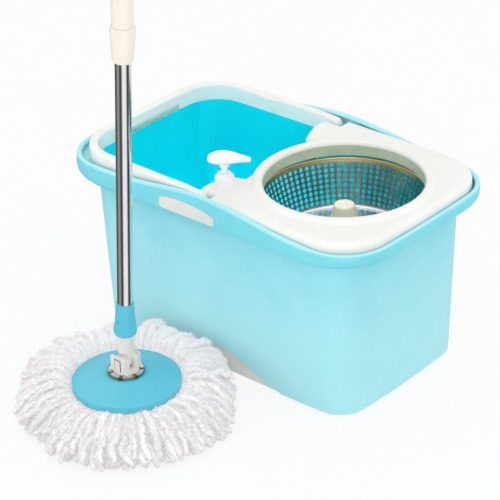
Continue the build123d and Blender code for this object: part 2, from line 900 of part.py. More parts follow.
def mop_yoke():
    low = disc_crown_z + run
    body = rod(flange_r, low, low + flange_t)
    body = body + rod(hub_r, disc_crown_z - disc_t - retainer_t, low)
    top = low + flange_t
    cheek = make_face([
        Line((-fork_half_deep, top), (fork_half_deep, top)),
        Line((fork_half_deep, top), (fork_r, tilt_z)),
        ThreePointArc((fork_r, tilt_z), (0, tilt_z + fork_r), (-fork_r, tilt_z)),
        Line((-fork_r, tilt_z), (-fork_half_deep, top)),
    ])
    block = side_prism(cheek, -fork_half_wid, fork_half_wid)
    far = 2 * fork_half_wid
    slot = span_box(-far, far, -fork_slot, fork_slot, top + fork_floor_h, tilt_z + far)
    body = body + (block - slot)
    body = body - y_rod(tilt_pin_r, -far, far, 0, tilt_z)
    body = body - rod(hub_bore_r, 0, top - hub_bore_end)
    return at_mop(body)


def yoke_retainer():
    top = disc_crown_z - disc_t - run
    return at_mop(tube(retainer_r, hub_r, top - retainer_t, top))


def tilt_pin():
    return at_mop(y_rod(tilt_pin_r, -fork_half_wid, fork_half_wid, 0, tilt_z))


def leaned(shape):
    """Put an upright pole piece on the mop's axis, leaned about the tilt pin."""
    return Pos(mop_x, mop_y, tilt_z) * Rot(0, lean, 0) * Pos(0, 0, -tilt_z) * shape


def knuckle_neck():
    body = turned([
        (0, neck_low_z), (neck_low_r, neck_low_z), (neck_high_r, neck_top_pole_z), (ferrule_plug_r, neck_top_pole_z),
        (ferrule_plug_r, ferrule_plug_z), (0, ferrule_plug_z),
    ])
    tongue = span_box(-tongue_r, tongue_r, -tongue_half, tongue_half, tilt_z, tongue_top_z)
    tongue = tongue + y_rod(tongue_r, -tongue_half, tongue_half, 0, tilt_z)
    body = body + tongue
    body = body - y_rod(tilt_pin_r + run, -2 * tongue_half, 2 * tongue_half, 0, tilt_z)
    body = body - y_rod(rivet_r, -2 * upper_r, 2 * upper_r, 0, rivet_z)
    return leaned(body)


def ferrule():
    curve = Spline(*ferrule_points)
    low_r, low = ferrule_points[0]
    high_r, high = ferrule_points[-1]
    face = make_face([curve, Line((high_r, high), (0, high)), Line((0, high), (0, low)), Line((0, low), (low_r, low))])
    body = revolve(Plane.XZ * face, Axis.Z)
    body = body - rod(tube_r, tube_low_z, high)
    body = body - rod(ferrule_plug_r + run, low, tube_low_z)
    body = body - y_rod(rivet_r, -2 * upper_r, 2 * upper_r, 0, rivet_z)
    return leaned(body)


def ferrule_rivet():
    return leaned(y_rod(rivet_r, -upper_r, upper_r, 0, rivet_z))


def lower_tube():
    body = tube(tube_r, tube_r - tube_t, tube_low_z, tube_top_z)
    body = body - y_rod(rivet_r, -2 * upper_r, 2 * upper_r, 0, rivet_z)
    return leaned(body)


def twisted_bar(wid, thick, z0, z1):
    """Flat bar with the rod's lead; its turn at height z follows the rod's lower end."""
    turn = 360.0 / rod_pitch
    bar = Solid.extrude_linear_with_rotation(
        Rectangle(wid, thick).face(), (0, 0, 0), (0, 0, z1 - z0), turn * (z1 - z0))
    return Pos(0, 0, z0) * Rot(0, 0, turn * (z0 - rod_low_z)) * bar


def drive_nut():
    inner = tube_r - tube_t
    body = rod(inner, tube_top_z - nut_h, tube_top_z) + rod(tube_r, tube_top_z, tube_top_z + nut_flange_h)
    low = tube_top_z - nut_h - clear
    high = tube_top_z + nut_flange_h + clear
    body = body - twisted_bar(rod_w + 2 * clear, rod_t + 2 * clear, low, high)
    return leaned(body)


def drive_rod():
    return leaned(twisted_bar(rod_w, rod_t, rod_low_z, rod_top_z))


def rod_plug():
    low = rod_top_z - plug_bore
    body = rod(upper_r - upper_t, low, low + plug_h)
    body = body - twisted_bar(rod_w, rod_t, low, rod_top_z)
    body = body - y_rod(rivet_r, -2 * upper_r, 2 * upper_r, 0, low + plug_h - 2 * rivet_r)
    return leaned(body)


def plug_rivet():
    z = rod_top_z - plug_bore + plug_h - 2 * rivet_r
    return leaned(y_rod(rivet_r, -upper_r, upper_r, 0, z))


def slide_bush():
    return leaned(tube(upper_r - upper_t - run, tube_r + run, upper_low_z, upper_low_z + bush_len))


def upper_tube():
    body = tube(upper_r, upper_r - upper_t, upper_low_z, upper_top_z)
    z = rod_top_z - plug_bore + plug_h - 2 * rivet_r
    body = body - y_rod(rivet_r, -2 * upper_r, 2 * upper_r, 0, z)
    return leaned(body)


def grip_sleeve():
    body = tube(sleeve_r, upper_r, sleeve_spigot_z + clear, sleeve_top_z)
    body = body + tube(sleeve_spigot_r, upper_r, sleeve_low_z, sleeve_spigot_z + clear)
    top_edges = [e for e in body.edges().group_by(Axis.Z)[-1] if e.radius > upper_r + clear]
    return leaned(fillet(top_edges, sleeve_round))


def lock_collar():
    inner = sleeve_spigot_r + run
    high = sleeve_spigot_z
    body = turned([
        (0, collar_low_z), (collar_low_r - collar_lip, collar_low_z), (collar_low_r, collar_low_z + collar_lip),
        (collar_high_r, collar_shoulder_z), (collar_high_r, high - collar_lip),
        (collar_high_r - collar_lip, high), (0, high),
    ])
    body = body - rod(inner, sleeve_low_z - collar_lip, high)
    body = body - rod(upper_r + clear, upper_low_z - clear, sleeve_low_z)
    body = body - rod(tube_r + swing, collar_low_z, upper_low_z)
    body = body - rod(upper_r - clear, lock_ring_z, lock_ring_z + lock_ring_h)
    return leaned(body)


def lock_ring():
    return leaned(tube(upper_r - clear, tube_r + clear, lock_ring_z, lock_ring_z + lock_ring_h))


def top_grip():
    body = rod(top_grip_r, top_grip_low_z, top_grip_top_z)
    body = fillet(body.edges().group_by(Axis.Z)[-1], top_grip_round)
    body = fillet(body.edges().group_by(Axis.Z)[0], top_grip_lip)
    body = body - rod(upper_r, top_grip_low_z, upper_top_z)
    body = body - y_rod(hang_hole_r, -2 * top_grip_r, 2 * top_grip_r, 0, hang_hole_z)
    return leaned(body)


NODES = {
    "bucket_shell": bucket_shell(),
    "base_plinth": base_plinth(),
    "base_feet": base_feet(),
    "side_plate_front": side_plate(-reach_y, 0),
    "side_plate_back": side_plate(0, reach_y),
    "basket_cover": basket_cover(),
    "basket_post": basket_post(),
    "post_screws": post_screws(),
    "spindle_pin": spindle_pin(),
    "soap_bottle": soap_bottle(),
    "pump_collar": pump_collar(),
    "pump_gasket": pump_gasket(),
    "pump_cylinder": pump_cylinder(),
    "pump_spring": pump_spring(),
    "valve_ball": valve_ball(),
    "dip_tube": dip_tube(),
    "pump_stem": pump_stem(),
    "pump_piston": pump_piston(),
    "pump_head": pump_head(),
    "basket_bowl": basket_bowl(),
    "basket_cone": basket_cone(),
    "cone_screws": cone_screws(),
    "basket_bush": basket_bush(),
    "thrust_disc": thrust_disc(),
    "carry_handle": carry_handle(),
    "handle_grip": handle_grip(),
    "handle_pins": handle_pins(),
    "mop_yoke": mop_yoke(),
    "yoke_retainer": yoke_retainer(),
    "tilt_pin": tilt_pin(),
    "mop_disc": mop_disc(),
    "swivel_ring": swivel_ring(),
    "strand_ring": strand_ring(),
    "mop_strands": mop_strands(),
    "knuckle_neck": knuckle_neck(),
    "ferrule": ferrule(),
    "ferrule_rivet": ferrule_rivet(),
    "lower_tube": lower_tube(),
    "drive_nut": drive_nut(),
    "slide_bush": slide_bush(),
    "upper_tube": upper_tube(),
    "grip_sleeve": grip_sleeve(),
    "top_grip": top_grip(),
    "drive_rod": drive_rod(),
    "rod_plug": rod_plug(),
    "plug_rivet": plug_rivet(),
    "lock_collar": lock_collar(),
    "lock_ring": lock_ring(),
}

os.makedirs("parts", exist_ok=True)
for name, shape in NODES.items():
    export_step(shape, "parts/" + name + ".step")
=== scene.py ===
import json
import math

import bmesh
import bpy
from mathutils import Matrix, Vector

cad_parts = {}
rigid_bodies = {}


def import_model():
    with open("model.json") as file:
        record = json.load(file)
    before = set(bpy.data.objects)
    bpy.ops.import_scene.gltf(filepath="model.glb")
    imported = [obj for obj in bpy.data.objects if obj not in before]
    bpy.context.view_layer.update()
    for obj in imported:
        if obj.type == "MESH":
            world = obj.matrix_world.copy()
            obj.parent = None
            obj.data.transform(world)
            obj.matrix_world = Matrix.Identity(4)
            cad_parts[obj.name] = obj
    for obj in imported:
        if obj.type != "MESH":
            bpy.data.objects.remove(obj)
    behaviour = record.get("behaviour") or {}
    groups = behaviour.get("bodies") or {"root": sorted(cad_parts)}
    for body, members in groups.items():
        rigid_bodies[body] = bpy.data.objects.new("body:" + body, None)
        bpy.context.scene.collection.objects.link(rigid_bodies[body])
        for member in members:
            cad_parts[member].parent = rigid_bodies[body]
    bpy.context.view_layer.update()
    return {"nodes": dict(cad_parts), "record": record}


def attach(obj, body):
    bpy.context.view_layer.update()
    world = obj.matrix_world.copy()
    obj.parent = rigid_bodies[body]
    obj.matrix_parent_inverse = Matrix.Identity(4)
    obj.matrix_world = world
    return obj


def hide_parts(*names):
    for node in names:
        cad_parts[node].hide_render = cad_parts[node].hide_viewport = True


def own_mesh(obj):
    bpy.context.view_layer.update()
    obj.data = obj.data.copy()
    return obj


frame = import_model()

NODES = frame["nodes"]
BODY_OF = {node: body for body, members in frame["record"]["behaviour"]["bodies"].items() for node in members}
SLOT_OF = {row["node"]: row["material_slot"] for row in frame["record"]["subparts"]}

# Lengths are in metres
MM = 0.001
WHITE, BLACK = (1, 1, 1, 1), (0, 0, 0, 1)

# The upright axes of the mop and the basket
MOP = Vector((-0.028, -0.285, 0))
BASKET = Vector((0.1235, 0, 0))


def tone(red, green, blue):
    """A colour as it looks, from 0 to 255, turned from sRGB into linear light."""
    parts = [c / 255 for c in (red, green, blue)]
    return tuple(c / 12.92 if c <= 0.04045 else ((c + 0.055) / 1.055) ** 2.4 for c in parts) + (1.0,)


# --- Node trees ---

class Amount:
    """A number that a node tree works out; reckoning with it adds Math nodes."""

    def __init__(self, tree, socket):
        self.tree, self.socket = tree, socket

    def __add__(self, other):
        return self.tree.math("ADD", self, other)

    def __sub__(self, other):
        return self.tree.math("SUBTRACT", self, other)

    def __rsub__(self, other):
        return self.tree.math("SUBTRACT", other, self)

    def __mul__(self, other):
        return self.tree.math("MULTIPLY", self, other)

    def __truediv__(self, other):
        return self.tree.math("DIVIDE", self, other)


class NodeTree:
    """A tree built one node at a time; a socket takes a plain value or what another node gives."""

    def __init__(self, tree):
        self.tree = tree

    def join(self, value, socket):
        if isinstance(value, Amount):
            value = value.socket
        if isinstance(value, bpy.types.NodeSocket):
            self.tree.links.new(value, socket)
        else:
            socket.default_value = value

    def add(self, kind, settings=None, **sockets):
        node = self.tree.nodes.new(kind)
        for key, value in (settings or {}).items():
            setattr(node, key, value)
        for key, value in sockets.items():
            self.join(value, node.inputs[key.replace("_", " ")])
        return node

    def filled(self, kind, settings, values):
        """A node whose first sockets take the values in order."""
        node = self.add(kind, settings)
        for value, socket in zip(values, node.inputs):
            self.join(value, socket)
        return node

    def math(self, way, *values):
        return Amount(self, self.filled("ShaderNodeMath", {"operation": way}, values).outputs[0])

    def vector_math(self, way, *values):
        node = self.filled("ShaderNodeVectorMath", {"operation": way}, values)
        return node.outputs["Value" if way == "LENGTH" else "Vector"]

    def split(self, place):
        """The x, y and z of a place."""
        return [Amount(self, part) for part in self.add("ShaderNodeSeparateXYZ", Vector=place).outputs]

    def ray_share(self, *kinds):
        """1 for the named kinds of ray, 0 for all others."""
        path = self.add("ShaderNodeLightPath")
        share = path.outputs[kinds[0]]
        for kind in kinds[1:]:
            share = self.math("MAXIMUM", share, path.outputs[kind])
        return share

    def blend_shaders(self, share, first, second):
        node = self.add("ShaderNodeMixShader", Fac=share)
        self.join(first.outputs[0], node.inputs[1])
        self.join(second.outputs[0], node.inputs[2])
        return node.outputs[0]


class Finish(NodeTree):
    """A material; every texture in it reads the piece's own Object coordinates."""

    def __init__(self, name):
        self.material = bpy.data.materials.new(name)
        self.material.use_nodes = True
        super().__init__(self.material.node_tree)
        self.surface = self.tree.nodes["Principled BSDF"]
        self.place = self.add("ShaderNodeTexCoord").outputs["Object"]

    def put(self, **sockets):
        for key, value in sockets.items():
            self.join(value, self.surface.inputs[key.replace("_", " ")])

    def stretched(self, x, y, z):
        return self.add("ShaderNodeMapping", Vector=self.place, Scale=(x, y, z)).outputs["Vector"]

    def noise(self, scale, detail=3.0, rough=0.55, place=None):
        return self.add("ShaderNodeTexNoise", Vector=place or self.place, Scale=scale, Detail=detail,
                        Roughness=rough).outputs["Fac"]

    def ramp(self, value, stops):
        node = self.add("ShaderNodeValToRGB", Fac=value)
        marks = node.color_ramp.elements
        while len(marks) < len(stops):
            marks.new(0.5)
        for mark, (at, colour) in zip(marks, stops):
            mark.position = at
            mark.color = colour
        return node.outputs["Color"]

    def span(self, value, low, high, from_low=0.3, from_high=0.7):
        return self.add("ShaderNodeMapRange", Value=value, From_Min=from_low, From_Max=from_high, To_Min=low,
                        To_Max=high).outputs["Result"]

    def mix(self, share, first, second, blend="MIX"):
        """Two colours mixed; the node keeps its colour sockets behind those for numbers and vectors."""
        node = self.add("ShaderNodeMix", {"data_type": "RGBA", "blend_type": blend})
        for value, socket in zip((share, first, second), (node.inputs[0], node.inputs[6], node.inputs[7])):
            self.join(value, socket)
        return node.outputs[2]

    def bump(self, height, depth, strength):
        return self.add("ShaderNodeBump", Height=height, Distance=depth, Strength=strength).outputs["Normal"]

    def bearing(self, from_axis):
        """Angle around the upright axis that a place is measured from."""
        x, y, _ = self.split(from_axis)
        return self.math("ARCTAN2", y, x)


class Shaper(NodeTree):
    """A Geometry Nodes tree with named sizes; its result becomes a plain mesh."""

    def __init__(self, name, sizes):
        super().__init__(bpy.data.node_groups.new(name, "GeometryNodeTree"))
        self.ids = {}
        for key, value in sizes.items():
            kind = "NodeSocketInt" if isinstance(value, int) else "NodeSocketFloat"
            socket = self.tree.interface.new_socket(key, in_out="INPUT", socket_type=kind)
            socket.default_value = value
            self.ids[key] = socket.identifier
        self.tree.interface.new_socket("Geometry", in_out="OUTPUT", socket_type="NodeSocketGeometry")
        self.entry = self.add("NodeGroupInput")

    def size(self, key):
        return Amount(self, self.entry.outputs[key])

    def random(self, low, high, ident, seed):
        node = self.add("FunctionNodeRandomValue", {"data_type": "FLOAT"}, ID=ident, Seed=seed)
        node.inputs[2].default_value, node.inputs[3].default_value = low, high
        return Amount(self, node.outputs[1])

    def ease(self, value, from_low, from_high, to_low, to_high):
        return Amount(self, self.add(
            "ShaderNodeMapRange", {"interpolation_type": "SMOOTHSTEP"}, Value=value, From_Min=from_low,
            From_Max=from_high, To_Min=to_low, To_Max=to_high).outputs["Result"])

    def vector(self, x, y, z):
        return self.filled("ShaderNodeCombineXYZ", None, (x, y, z)).outputs[0]

    def position(self):
        return self.add("GeometryNodeInputPosition").outputs[0]

    def finish(self, geometry, finish):
        dressed = self.add("GeometryNodeSetMaterial", Geometry=geometry, Material=finish)
        self.add("NodeGroupOutput", Geometry=dressed.outputs[0])

    def mesh(self, name, **sizes):
        holder = bpy.data.objects.new(name + "_holder", bpy.data.meshes.new(name + "_holder"))
        bpy.context.scene.collection.objects.link(holder)
        modifier = holder.modifiers.new("shape", "NODES")
        modifier.node_group = self.tree
        for key, value in sizes.items():
            modifier[self.ids[key.replace("_", " ")]] = value
        bpy.context.view_layer.update()
        graph = bpy.context.evaluated_depsgraph_get()
        mesh = bpy.data.meshes.new_from_object(holder.evaluated_get(graph), depsgraph=graph)
        mesh.name = name
        bpy.data.objects.remove(holder)
        return mesh


# --- Materials ---

PLASTIC_IOR = 1.46


def moulded(name, pale, deep, rough=0.38, patch=18.0, grain=900.0, grain_depth=0.00006):
    """Injection-moulded plastic: soft colour patches, a fine grain and uneven gloss."""
    f = Finish(name)
    patches = f.noise(patch, detail=4.0)
    smears = f.noise(patch * 4)
    f.put(Base_Color=f.ramp(patches, [(0.3, deep), (0.7, pale)]))
    f.put(Roughness=f.span(smears, rough - 0.06, rough + 0.08), IOR=PLASTIC_IOR)
    f.put(Normal=f.bump(f.noise(grain, detail=2.0), grain_depth, 0.35))
    return f.material


def bucket_side():
    """Grained side of the bucket, paler toward its foot and deeper up under the rim band, as painted shade.
    """
    unshaded_below, painted_shade_above, cloud_depth = 0.08, 0.34, 0.16
    f = Finish("turquoise_side")
    _, _, height = f.split(f.place)
    cloudy = f.math("MULTIPLY_ADD", f.noise(14.0, detail=5.0, rough=0.65), cloud_depth, height)
    level = f.span(cloudy, 0.0, 1.0, unshaded_below, painted_shade_above)
    # The colour deepens upward toward the rim band: painted shade under it
    f.put(Base_Color=f.ramp(level, [(0.0, tone(180, 238, 245)), (0.5, tone(168, 232, 242)),
                                    (1.0, tone(140, 220, 233))]))
    f.put(Roughness=f.span(f.noise(90.0), 0.38, 0.5), IOR=PLASTIC_IOR)
    f.put(Normal=f.bump(f.noise(420.0, detail=2.0), 0.0001, 0.35))
    return f.material


def polished_tube(name, colour, rough):
    """Drawn bright tube: fine lines along its length and faint smears."""
    f = Finish(name)
    lines = f.noise(1.0, place=f.stretched(2600, 2600, 6))
    smeared = tuple(0.93 * c for c in colour[:3]) + (1,)
    f.put(Metallic=1.0, Base_Color=f.ramp(f.noise(35.0), [(0.3, smeared), (0.7, colour)]))
    f.put(Roughness=f.span(lines, rough - 0.03, rough + 0.06))
    f.put(Normal=f.bump(lines, 0.00002, 0.15))
    return f.material


def basket_sheet():
    """Perforated steel sheet: a dark brown, streaked wall between an olive rolled rim and a silver floor."""
    sheet_low, sheet_high = 0.19, 0.262
    silver, olive = (0.9, 0.9, 0.92, 1), (0.64, 0.51, 0.27, 1)
    brown, deep = (0.4, 0.36, 0.3, 1), (0.26, 0.24, 0.21, 1)
    f = Finish("basket_sheet")
    _, _, height = f.split(f.place)
    level = f.span(height, 0.0, 1.0, sheet_low, sheet_high)
    wall = f.ramp(f.noise(1.0, place=f.stretched(60, 60, 9)), [(0.35, deep), (0.65, brown)])
    ends = f.ramp(level, [(0.4, silver), (0.6, olive)])
    at_an_end = f.ramp(level, [(0.0, WHITE), (0.06, WHITE), (0.1, BLACK), (0.86, BLACK), (0.9, WHITE),
                               (1.0, WHITE)])
    lines = f.noise(1.0, place=f.stretched(30, 30, 1800))
    f.put(Metallic=1.0, Base_Color=f.mix(at_an_end, wall, ends), Roughness=f.span(lines, 0.14, 0.24))
    f.put(Normal=f.bump(lines, 0.00002, 0.12))
    return f.material


def slotted_ring():
    """Bright pressed ring with its slots painted in as dark shade, and painted shade along its outer edge."""
    slot_count, edge_shade_from, edge_shade_to = 7.0, 0.0236, 0.0252
    painted_slot_shade, side, bright = (0.26, 0.22, 0.16, 1), (0.58, 0.55, 0.49, 1), (0.74, 0.73, 0.7, 1)
    f = Finish("swivel_ring_steel")
    from_axis = f.vector_math("SUBTRACT", f.place, MOP)
    # The slots are painted in as dark shade around the ring
    beat = f.math("SINE", f.bearing(from_axis) * slot_count)
    slot_shade = f.ramp(f.span(beat, 0.0, 1.0, -1.0, 1.0), [(0.05, painted_slot_shade), (0.22, side), (0.5, bright)])
    radius = f.vector_math("LENGTH", f.vector_math("MULTIPLY", from_axis, (1, 1, 0)))
    # A darker outer edge: painted shade
    edge = f.ramp(f.span(radius, 0.0, 1.0, edge_shade_from, edge_shade_to), [(0.0, WHITE), (1.0, (0.52, 0.48, 0.44, 1))])
    f.put(Base_Color=f.mix(1.0, slot_shade, edge, "MULTIPLY"))
    f.put(Metallic=1.0, Roughness=f.span(f.noise(400.0), 0.16, 0.3))
    return f.material


def yarn():
    """White microfibre chenille: a fine pile with painted shade in its hollows, a tint of its own for each
    rope, a soft sheen, and a painted glow that lifts its shade.
    """
    lofty = (0.2, -0.4, 1.8)  # light scattered in the pile makes it look as if it faced upward
    f = Finish("white_chenille")
    shade = f.add("ShaderNodeAttribute", {"attribute_name": "rope_shade"}).outputs["Fac"]
    pile = f.noise(700.0)
    tint = f.ramp(shade, [(0.0, tone(220, 218, 219)), (1.0, tone(230, 228, 229))])
    # Darker where the pile's bump is low: painted shade in its hollows
    depth = f.ramp(pile, [(0.3, (0.94, 0.94, 0.95, 1)), (0.6, WHITE)])
    f.put(Base_Color=f.mix(1.0, tint, depth, "MULTIPLY"))
    f.put(Roughness=0.95, Sheen_Weight=0.35, Sheen_Roughness=0.5)
    # A faint white glow, though the yarn is no lamp: painted light that fills the shade between the ropes
    f.put(Emission_Color=tone(255, 252, 252), Emission_Strength=0.32)
    f.put(Normal=f.vector_math("NORMALIZE", f.vector_math("ADD", f.bump(pile, 0.0012, 0.7), lofty)))
    return f.material


FINISH = {
    "sheet": basket_sheet(),
    # The opening's olive cream is painted shade and painted reflection on the cover's white plastic
    "opening": moulded("opening_olive", tone(200, 212, 188), tone(186, 202, 174), rough=0.3, patch=30.0),
    "slotted": slotted_ring(),
    "body": bucket_side(),
    # The pale rim edge is painted highlight: on the band's top, its hem, the ledge and the shaded inner faces
    "edge": moulded("turquoise_rim_edge", tone(182, 243, 250), tone(170, 239, 247), rough=0.34, patch=20.0),
    "skirt": moulded("turquoise_rim", tone(130, 223, 235), tone(121, 218, 231), rough=0.34, patch=20.0),
    "inside": moulded("cyan_inside", tone(2, 228, 240), tone(0, 221, 236), rough=0.36, patch=9.0),
    "pale_grey": moulded("plinth_grey", tone(250, 250, 243), tone(245, 245, 236), rough=0.5),
    "rubber": moulded("foot_rubber", tone(96, 98, 98), tone(80, 82, 82), rough=0.8, patch=60.0, grain=1500.0,
                      grain_depth=0.0001),
    "white": moulded("cover_white", tone(246, 246, 243), tone(242, 242, 238), rough=0.32, patch=9.0,
                     grain=300.0, grain_depth=0.00001),
    "plate": moulded("plate_white", tone(233, 231, 229), tone(226, 225, 222), rough=0.34, patch=20.0),
    "grip": moulded("grip_grey_green", tone(190, 214, 204), tone(176, 204, 193), rough=0.5, patch=40.0),
    "pump": moulded("pump_white", tone(247, 246, 247), tone(241, 240, 241), rough=0.26, patch=40.0),
    "bottle": moulded("bottle_white", tone(240, 244, 244), tone(232, 238, 239), rough=0.3, patch=20.0),
    "seal": moulded("seal_rubber", tone(66, 66, 68), tone(52, 52, 54), rough=0.75, patch=90.0),
    "post": moulded("post_white", tone(232, 232, 228), tone(222, 222, 218), rough=0.46, patch=20.0),
    "nylon": moulded("nylon", tone(226, 226, 220), tone(216, 216, 210), rough=0.44, patch=60.0),
    "disc": moulded("disc_blue", tone(103, 203, 225), tone(96, 197, 220), rough=0.4, patch=22.0),
    # Dark grey of the latch gap: painted shade in the groove around the latch
    "gap_shade": moulded("latch_gap_grey", tone(92, 92, 90), tone(78, 78, 76), rough=0.7, patch=60.0),
    "ferrule": moulded("ferrule_blue", tone(90, 196, 219), tone(84, 190, 214), rough=0.4, patch=22.0),
    "yoke": moulded("yoke_grey", tone(238, 231, 225), tone(227, 219, 212), rough=0.34, patch=60.0),
    "cream": moulded("sleeve_cream", tone(247, 238, 229), tone(243, 233, 223), rough=0.32, patch=30.0),
    "ivory": moulded("cone_ivory", tone(255, 254, 236), tone(254, 250, 228), rough=0.34, patch=50.0),
    "chrome": polished_tube("bright_tube", (0.83, 0.83, 0.84, 1), rough=0.1),
    "zinc": polished_tube("plain_steel", (0.66, 0.66, 0.66, 1), rough=0.32),
    "brass": polished_tube("bush_brass", (0.75, 0.58, 0.28, 1), rough=0.28),
}
FINISH_OF_SLOT = {
    "body_blue": "body", "pale_grey": "pale_grey", "rubber_grey": "rubber", "white": "white",
    "white_ribbed": "grip", "chrome": "chrome", "zinc": "zinc", "brass": "brass", "cream": "cream",
    "cream_cone": "ivory", "post_white": "post", "bottle": "bottle", "seal": "seal", "disc_blue": "disc",
    "yoke_grey": "yoke", "nylon": "nylon", "strands": "white",
}
# Nodes that look different from the rest of their slot
FINISH_OF_NODE = {
    "tilt_pin": "yoke", "ferrule": "ferrule", "ferrule_rivet": "ferrule", "side_plate_front": "plate",
    "side_plate_back": "plate", "basket_bowl": "sheet", "pump_head": "pump", "pump_collar": "pump",
    "swivel_ring": "slotted",
}


# --- Pieces made from the solids, or added to them ---

MERGE_WITHIN = 1e-6
SKIN_CREASE, RING_CREASE = math.radians(32), math.radians(40)


def piece(name, mesh, body, stands_for=()):
    """A finished mesh becomes a piece that moves with a body of the frame."""
    made = bpy.data.objects.new(name, mesh)
    bpy.context.scene.collection.objects.link(made)
    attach(made, body)
    if stands_for:
        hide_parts(*stands_for)
    return made


def fitted(name, mesh, node):
    """A piece that belongs to a node without taking its place."""
    piece(name, mesh, BODY_OF[node])


def smoothed(node, finishes, pick=None, flat=0.0):
    """A copy of a node with its loose triangles merged and its curved faces shaded smooth."""
    mesh = NODES[node].data.copy()
    mesh.name = node + "_skin"
    shape = bmesh.new()
    shape.from_mesh(mesh)
    bmesh.ops.remove_doubles(shape, verts=shape.verts, dist=MERGE_WITHIN)
    if flat:
        bmesh.ops.dissolve_limit(shape, angle_limit=math.radians(flat), verts=shape.verts, edges=shape.edges)
    shape.to_mesh(mesh)
    shape.free()
    if "custom_normal" in mesh.attributes:
        mesh.attributes.remove(mesh.attributes["custom_normal"])
    mesh.materials.clear()
    for finish in finishes:
        mesh.materials.append(FINISH[finish])
    mesh.shade_smooth()
    mesh.set_sharp_from_angle(angle=SKIN_CREASE)
    for face in mesh.polygons:
        face.material_index = pick(face) if pick else 0
    return piece(node + "_skin", mesh, BODY_OF[node], [node])


# Regions of the bucket: the outside, the tilted rim band, the inside up to the ledge, and the pale edges,
# whose paler colour is painted highlight
BUCKET_FINISHES = ["body", "skirt", "inside", "edge"]
BODY, SKIRT, INSIDE, HIGHLIT_EDGE = range(4)
HALF_LONG, HALF_WIDE = 0.26, 0.15
UNDERSIDE_Z, LEDGE_Z = 0.006, 0.2605
SKIRT_LOW, SKIRT_FAR, SKIRT_TILT = 0.236, 0.266, math.radians(0.6)
SKIRT_SLACK, SKIRT_HEM = 0.4 * MM, 3.2 * MM
LEVEL = 0.5  # a face whose normal rises by more than this counts as level


def looks_out(face):
    """Above zero where a face of the bucket looks away from the middle."""
    return face.center.x * face.normal.x / HALF_LONG ** 2 + face.center.y * face.normal.y / HALF_WIDE ** 2


def bucket_face(face):
    """The region of a face, from where it lies and which way it looks."""
    at, level, looks_in = face.center, face.normal.z > LEVEL, looks_out(face) < 0
    band_low = SKIRT_LOW + (at.x + SKIRT_FAR) * math.tan(SKIRT_TILT) - SKIRT_SLACK
    if UNDERSIDE_Z < at.z < LEDGE_Z and (level or looks_in) and not (level and at.z > band_low):
        return INSIDE
    if at.z < band_low:
        return BODY
    # Level faces, inner faces above the ledge and the band's hem take the pale edge: painted highlight
    return HIGHLIT_EDGE if level or looks_in or at.z < band_low + SKIRT_HEM else SKIRT


RIM_HALF, RIM_EDGE_Z = Vector((0.2685, 0.1655, 0)), 0.262
BEAD_R, BEAD_IN, BEAD_DOWN, BEAD_STEP = 3.6 * MM, 3.2 * MM, 1.8 * MM, 5 * MM
BEAD_ROUNDNESS = 4


def rim_bead(skin):
    """Rounded lip along the wavy top edge of the rim band, in the pale edge colour that paints its highlight.
    """
    edge, outer = set(), set()
    for face in skin.data.polygons:
        if face.normal.z > LEVEL and face.center.z > RIM_EDGE_Z:
            edge.update(face.vertices)
        elif abs(face.normal.z) < LEVEL and looks_out(face) > 0:
            outer.update(face.vertices)
    spots = [skin.data.vertices[k].co for k in edge & outer]
    spots.sort(key=lambda at: math.atan2(at.y / RIM_HALF.y, at.x / RIM_HALF.x))
    line = [spots[0]]
    for at in spots:
        if (at - line[-1]).length > BEAD_STEP:
            line.append(at)
    path = bpy.data.curves.new("rim_bead", "CURVE")
    path.dimensions = "3D"
    path.bevel_depth, path.bevel_resolution = BEAD_R, BEAD_ROUNDNESS
    spline = path.splines.new("POLY")
    spline.points.add(len(line) - 1)
    spline.use_cyclic_u = True
    for k, point in enumerate(spline.points):
        before, here, after = line[k - 1], line[k], line[(k + 1) % len(line)]
        at = (before + here * 2 + after) / 4
        inward = (after - before).cross(Vector((0, 0, -1))).normalized()
        point.co = (*(at + inward * BEAD_IN - Vector((0, 0, BEAD_DOWN))), 1)
    holder = bpy.data.objects.new("rim_bead_path", path)
    mesh = bpy.data.meshes.new_from_object(holder)
    bpy.data.objects.remove(holder)
    mesh.materials.clear()
    mesh.materials.append(FINISH["edge"])
    mesh.shade_smooth()
    fitted("rim_bead", mesh, "bucket_shell")


def turned(name, profile, axis, steps, finish):
    """A closed ring: a profile of (radius, height) turned about an upright axis."""
    around = [math.tau * k / steps for k in range(steps)]
    spots = [(axis.x + r * math.cos(a), axis.y + r * math.sin(a), z) for a in around for r, z in profile]
    n, total = len(profile), len(profile) * steps
    faces = [(k * n + j, (k + 1) * n % total + j, (k + 1) * n % total + (j + 1) % n, k * n + (j + 1) % n)
             for k in range(steps) for j in range(n)]
    mesh = bpy.data.meshes.new(name)
    mesh.from_pydata(spots, [], faces)
    mesh.materials.append(FINISH[finish])
    mesh.shade_smooth()
    mesh.set_sharp_from_angle(angle=RING_CREASE)
    return mesh


def slab(shape, outline, low_y, high_y, at, round_by=0.0):
    """A closed upright slab: an outline of (x, z) in mm about a point, between two depths."""
    near = [shape.verts.new((at.x + x * MM, at.y + low_y, z * MM)) for x, z in outline]
    far = [shape.verts.new((at.x + x * MM, at.y + high_y, z * MM)) for x, z in outline]
    count = len(outline)
    faces = [shape.faces.new(near), shape.faces.new(far[::-1])]
    for k in range(count):
        faces.append(shape.faces.new((near[(k + 1) % count], near[k], far[k], far[(k + 1) % count])))
    bmesh.ops.recalc_face_normals(shape, faces=faces)
    if round_by:
        edges = list(dict.fromkeys(edge for face in faces for edge in face.edges))
        bmesh.ops.bevel(shape, geom=edges, offset=round_by, segments=2, affect="EDGES", profile=0.5)


CHEEK = [(-17, 66), (-13.5, 74), (-13.5, 88.5), (-11.5, 90.5),
         (11.5, 90.5), (13.5, 88.5), (13.5, 74), (17, 66)]
